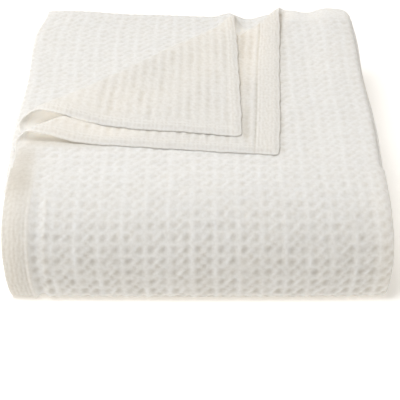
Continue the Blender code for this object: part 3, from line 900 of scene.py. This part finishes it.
def second_sheet():
    """The two layers under it, from the fold behind them to the second hem."""
    start = s_at(LAYERS - 4, JOIN_Y)
    rows = np.concatenate([spaced(start, LENGTH - GRID, GRID), LENGTH - np.array(EDGE_STEPS)[::-1]])

    def ribs(x, s):
        return ease((s - SECOND_START) / RIBS_OVER)

    def shows_outside(x, s):
        flap = past_fold(x, s, "second")
        third = (flap > THIRD_SEEN["fold"]) | (y_at(s) > THIRD_SEEN["back"]) | (x < THIRD_SEEN["left"])
        return np.where(s < SECOND_START, third, flap > FLAP_SEEN_FROM)

    def shows_inside(x, s):
        from_first = past_fold(x, s, "outer") > SECOND_SEEN[0]
        return (s > SECOND_START) & from_first & (past_fold(x, s, "second") < SECOND_SEEN[1])

    return cloth_strip(rows, even_columns(SECOND_LEFT, GRID), ribs, shows_outside, shows_inside)


def back_folds():
    """The folds behind the pad, each with a little of its two layers."""
    shares = even_columns(HALF_WIDTH, BAND_GRID)
    strips = []
    for layer in FOLDS_BEHIND:
        rows = spaced(s_at(layer, JOIN_Y), s_at(layer + 1, JOIN_Y), BAND_GRID)
        strips.append(cloth_strip(rows, shares, plain_face, everywhere, nowhere))
    return joined(strips)


def inner_layers():
    """The layers between those folds, which show only at the pad's two sides."""
    near = np.arange(CLOSE_COLUMNS) * GRID / (2 * HALF_WIDTH)
    shares = np.concatenate([near, np.linspace(*WIDE_COLUMNS), 1 - near[::-1]])
    strips = []
    for layer in LAYERS_INSIDE:
        rows = spaced(s_at(layer, JOIN_Y), s_at(layer + 1, JOIN_Y), INNER_GRID)
        strips.append(cloth_strip(rows, shares, plain_face, everywhere, everywhere))
    return joined(strips)


def stretch(layers):
    """How much of the strip's length lies between these layers' joins."""
    return sum(s_at(layer + 1, JOIN_Y) - s_at(layer, JOIN_Y) for layer in layers)


def linked(name, data):
    """A new object with this name and data, in the scene."""
    made = bpy.data.objects.new(name, data)
    bpy.context.scene.collection.objects.link(made)
    return made


def make_piece(piece_name, parts, material, shift):
    """One piece of cloth. Its marks are kept for the cotton's colours, its painted shade and its painted
    glow.
    """
    points, marks, faces = parts
    mesh = bpy.data.meshes.new(piece_name)
    mesh.from_pydata((points + shift).tolist(), [], faces)
    place_on_cloth = mesh.attributes.new("cloth", "FLOAT_VECTOR", "POINT")
    flat = np.zeros((len(points), 3), np.float32)
    flat[:, :2] = marks[:, :2]
    place_on_cloth.data.foreach_set("vector", flat.ravel())
    # the depth mark is the painted shade, and the other one the painted glow
    for name, column in (("depth", 2), ("painted_glow", 3)):
        mark = mesh.attributes.new(name, "FLOAT", "POINT")
        mark.data.foreach_set("value", marks[:, column].astype(np.float32))
    mesh.shade_smooth()
    mesh.materials.append(material)
    return linked(piece_name, mesh)


# -------- the cotton

COTTON = (0.915, 0.908, 0.892, 1.0)
COTTON_WARM = (0.91, 0.893, 0.862, 1.0)
PATCHES = dict(scale=14.0, detail=3.0)  # of warmer cotton, in each metre
PAINTED_SHADE_TINT = (0.75, 0.72, 0.67, 1.0)  # painted shade: the share of that colour left deep in the weave and in the other painted shades
PAINTED_LIGHT_TINT = (0.95, 0.935, 0.90, 1.0)  # painted light: its colour where the painted glow stands in for light coming through
# The painted glow: the cotton's own emission, in place of light that passes through it
PAINTED_GLOW_COLOUR = (1.0, 0.93, 0.82, 1.0)
PAINTED_GLOW_STRENGTH = 0.20  # strength of the painted glow, for the light the thin cloth lets through into its open bends
FLECK = 0.0036  # size of the uneven flecks in the yarns
FLECK_DETAIL = 2.0
FLECK_RANGE = (0.40, 0.70)  # of the noise, from none to a whole fleck
IN_FLECKS = (0.925, 0.917, 0.905, 1.0)
YARN = 0.00115  # pitch of the yarns
YARN_WAVES = 3.2  # the bands' own scale
YARN_UNEVEN = 1.5
YARN_DETAIL = 2.0
YARN_STRENGTH = 0.35
YARN_HEIGHT = 0.0004
COTTON_SURFACE = {
    "Roughness": 0.92,
    "Specular IOR Level": 0.25,
    "Subsurface Weight": 0.8,
    "Subsurface Radius": (1.0, 0.95, 0.88),
    "Subsurface Scale": 0.0050,  # how far light passes into the cotton
    "Sheen Weight": 0.10,
    "Sheen Roughness": 0.6,
    "Emission Color": PAINTED_GLOW_COLOUR,
}


def shaded(name, surface_values):
    """A new material, and its shader with these values set on its own sockets."""
    material = bpy.data.materials.new(name)
    material.use_nodes = True
    shader = material.node_tree.nodes["Principled BSDF"]
    for socket, value in surface_values.items():
        shader.inputs[socket].default_value = value
    return material, shader


def added(tree, kind, inputs, **settings):
    """A new node. Its inputs are values, or are linked to other nodes."""
    node = tree.nodes.new(kind)
    for name, value in settings.items():
        setattr(node, name, value)
    for name, value in inputs.items():
        if isinstance(value, bpy.types.NodeSocket):
            tree.links.new(value, node.inputs[name])
        else:
            node.inputs[name].default_value = value
    return node


def mixed(tree, factor, first, second, blend="MIX"):
    inputs = {"Factor": factor, "A": first, "B": second}
    return added(tree, "ShaderNodeMix", inputs, data_type="RGBA", blend_type=blend).outputs["Result"]


def mark_on(tree, name, output):
    return added(tree, "ShaderNodeAttribute", {}, attribute_name=name).outputs[output]


def cotton_colour(tree, on_cloth, depth, painted_glow):
    """The cotton's patches and flecks, with painted shade in the weave's hollows and other shaded
    places, and plain painted light in open bends.
    """
    scales = {"Scale": PATCHES["scale"], "Detail": PATCHES["detail"], "Vector": on_cloth}
    patches = added(tree, "ShaderNodeTexNoise", scales)
    colour = mixed(tree, patches.outputs["Fac"], COTTON, COTTON_WARM)
    scales = {"Scale": 1 / FLECK, "Detail": FLECK_DETAIL, "Vector": on_cloth}
    flecks = added(tree, "ShaderNodeTexNoise", scales)
    least, most = FLECK_RANGE
    spread = {"From Min": least, "From Max": most, "Value": flecks.outputs["Fac"]}
    share = added(tree, "ShaderNodeMapRange", spread).outputs["Result"]
    colour = mixed(tree, share, colour, IN_FLECKS, "MULTIPLY")
    # painted shade: darker and warmer where the depth mark is
    colour = mixed(tree, depth, colour, PAINTED_SHADE_TINT, "MULTIPLY")
    # painted light: lighter and warmer where the glow mark is
    return mixed(tree, painted_glow, colour, PAINTED_LIGHT_TINT)


def yarn_relief(tree, on_cloth):
    """The yarns' fine bands, which cross."""
    waves = []
    for axis in ("X", "Y"):
        inputs = {
            "Scale": 1 / (YARN * YARN_WAVES),
            "Distortion": YARN_UNEVEN,
            "Detail": YARN_DETAIL,
            "Detail Scale": YARN_DETAIL,
            "Vector": on_cloth,
        }
        wave = added(tree, "ShaderNodeTexWave", inputs, wave_type="BANDS", bands_direction=axis)
        waves.append(wave.outputs["Fac"])
    crossed = added(tree, "ShaderNodeMath", dict(enumerate(waves)), operation="MAXIMUM")
    height = {"Strength": YARN_STRENGTH, "Distance": YARN_HEIGHT, "Height": crossed.outputs["Value"]}
    return added(tree, "ShaderNodeBump", height).outputs["Normal"]


def cotton():
    material, shader = shaded("waffle_cotton", COTTON_SURFACE)
    material.cycles.emission_sampling = "NONE"
    tree = material.node_tree
    on_cloth = mark_on(tree, "cloth", "Vector")
    # the depth mark holds the painted shade, the next one the painted glow
    depth = mark_on(tree, "depth", "Fac")
    painted_glow = mark_on(tree, "painted_glow", "Fac")
    # painted glow: an emission where the glow mark is, though the cloth is no lamp
    painted_glow_strength = added(tree, "ShaderNodeMath", {0: painted_glow, 1: PAINTED_GLOW_STRENGTH}, operation="MULTIPLY")
    tree.links.new(cotton_colour(tree, on_cloth, depth, painted_glow), shader.inputs["Base Color"])
    tree.links.new(painted_glow_strength.outputs["Value"], shader.inputs["Emission Strength"])
    tree.links.new(yarn_relief(tree, on_cloth), shader.inputs["Normal"])
    return material


# -------- floor, light and camera

FLOOR_SIZE = 12.0
FLOOR_SURFACE = {
    "Base Color": (0.90, 0.905, 0.91, 1.0),
    "Roughness": 0.8,
    "Specular IOR Level": 0.1,
    "Emission Color": (1.0, 0.94, 0.85, 1.0),
    "Emission Strength": 0.33,  # a white table lit from below
}
SKY_COLOUR = (1.0, 0.955, 0.885, 1.0)
SKY_STRENGTH = 0.44
LIGHTS = (
    dict(name="key", size=1.4, power=32.0, place=(-0.7, -0.3, 2.1), colour=(0.98, 0.99, 1.0)),
    dict(name="back", size=1.4, power=5.0, place=(0.2, 1.6, 1.8), colour=(1.0, 0.99, 0.98)),
)

CAMERA_DOWN = math.radians(37.0)
CAMERA_PLACE = (0.0, -0.8402, 0.7565)  # in the strip's own y, from the nose's contact line
PICTURE_WIDTH = 400  # in pixels, as the next two are
CAMERA_FOCAL = 1141.26  # the focal length
PAD_MIDDLE = 198.5  # where the pad's middle falls, from the picture's left
CAMERA_FAR = 100.0
SENSOR = 36.0  # the camera's own width, in millimetres


def add_floor():
    half = FLOOR_SIZE / 2
    mesh = bpy.data.meshes.new("floor")
    corners = [(-half, -half, 0), (half, -half, 0), (half, half, 0), (-half, half, 0)]
    mesh.from_pydata(corners, [], [(0, 1, 2, 3)])
    material, _ = shaded("pale_floor", FLOOR_SURFACE)
    mesh.materials.append(material)
    made = linked("floor", mesh)


def add_light():
    world = bpy.data.worlds.new("pale_room")
    world.use_nodes = True
    sky = world.node_tree.nodes["Background"]
    sky.inputs["Color"].default_value = SKY_COLOUR
    sky.inputs["Strength"].default_value = SKY_STRENGTH
    bpy.context.scene.world = world
    for lamp in LIGHTS:
        data = bpy.data.lights.new(lamp["name"], "AREA")
        data.shape = "DISK"
        data.size = lamp["size"]
        data.energy = lamp["power"]
        data.color = lamp["colour"]
        made = linked(lamp["name"], data)
        made.location = lamp["place"]
        aim = -np.array(lamp["place"])
        away = math.hypot(aim[0], aim[1])
        turn = math.atan2(aim[1], aim[0]) - math.pi / 2
        made.rotation_euler = (math.atan2(away, -aim[2]), 0.0, turn)


def add_camera(shift):
    data = bpy.data.cameras.new("camera")
    data.sensor_width = SENSOR
    data.lens = SENSOR * (CAMERA_FOCAL / PICTURE_WIDTH)
    data.shift_x = (PICTURE_WIDTH / 2 - PAD_MIDDLE) / PICTURE_WIDTH
    data.clip_end = CAMERA_FAR
    made = linked("camera", data)
    made.location = np.array(CAMERA_PLACE) + shift
    made.rotation_euler = (math.pi / 2 - CAMERA_DOWN, 0.0, 0.0)
    bpy.context.scene.camera = made


# -------- the whole

PIECES = {
    "outer_sheet": outer_sheet(),
    "second_sheet": second_sheet(),
    "back_folds": back_folds(),
    "inner_layers": inner_layers(),
}
lowest = np.min([points.min(axis=0) for points, _, _ in PIECES.values()], axis=0)
highest = np.max([points.max(axis=0) for points, _, _ in PIECES.values()], axis=0)
cad_low, cad_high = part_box("blanket")
SHIFT = (np.array(cad_low) + np.array(cad_high) - lowest - highest) / 2
SHIFT[2] = 0.0

cloth = cotton()
made = {}
for name, parts in PIECES.items():
    made[name] = make_piece(name, parts, cloth, SHIFT)
    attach(made[name], "root")
    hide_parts("blanket")

OUTER_LENGTH = s_at(0, JOIN_Y)
SECOND_LENGTH = LENGTH - s_at(LAYERS - 4, JOIN_Y)
FOLD_LENGTH = stretch(FOLDS_BEHIND)
INNER_LENGTH = stretch(LAYERS_INSIDE)

add_floor()
add_light()
add_camera(SHIFT)
bpy.context.scene.view_settings.view_transform = "Standard"
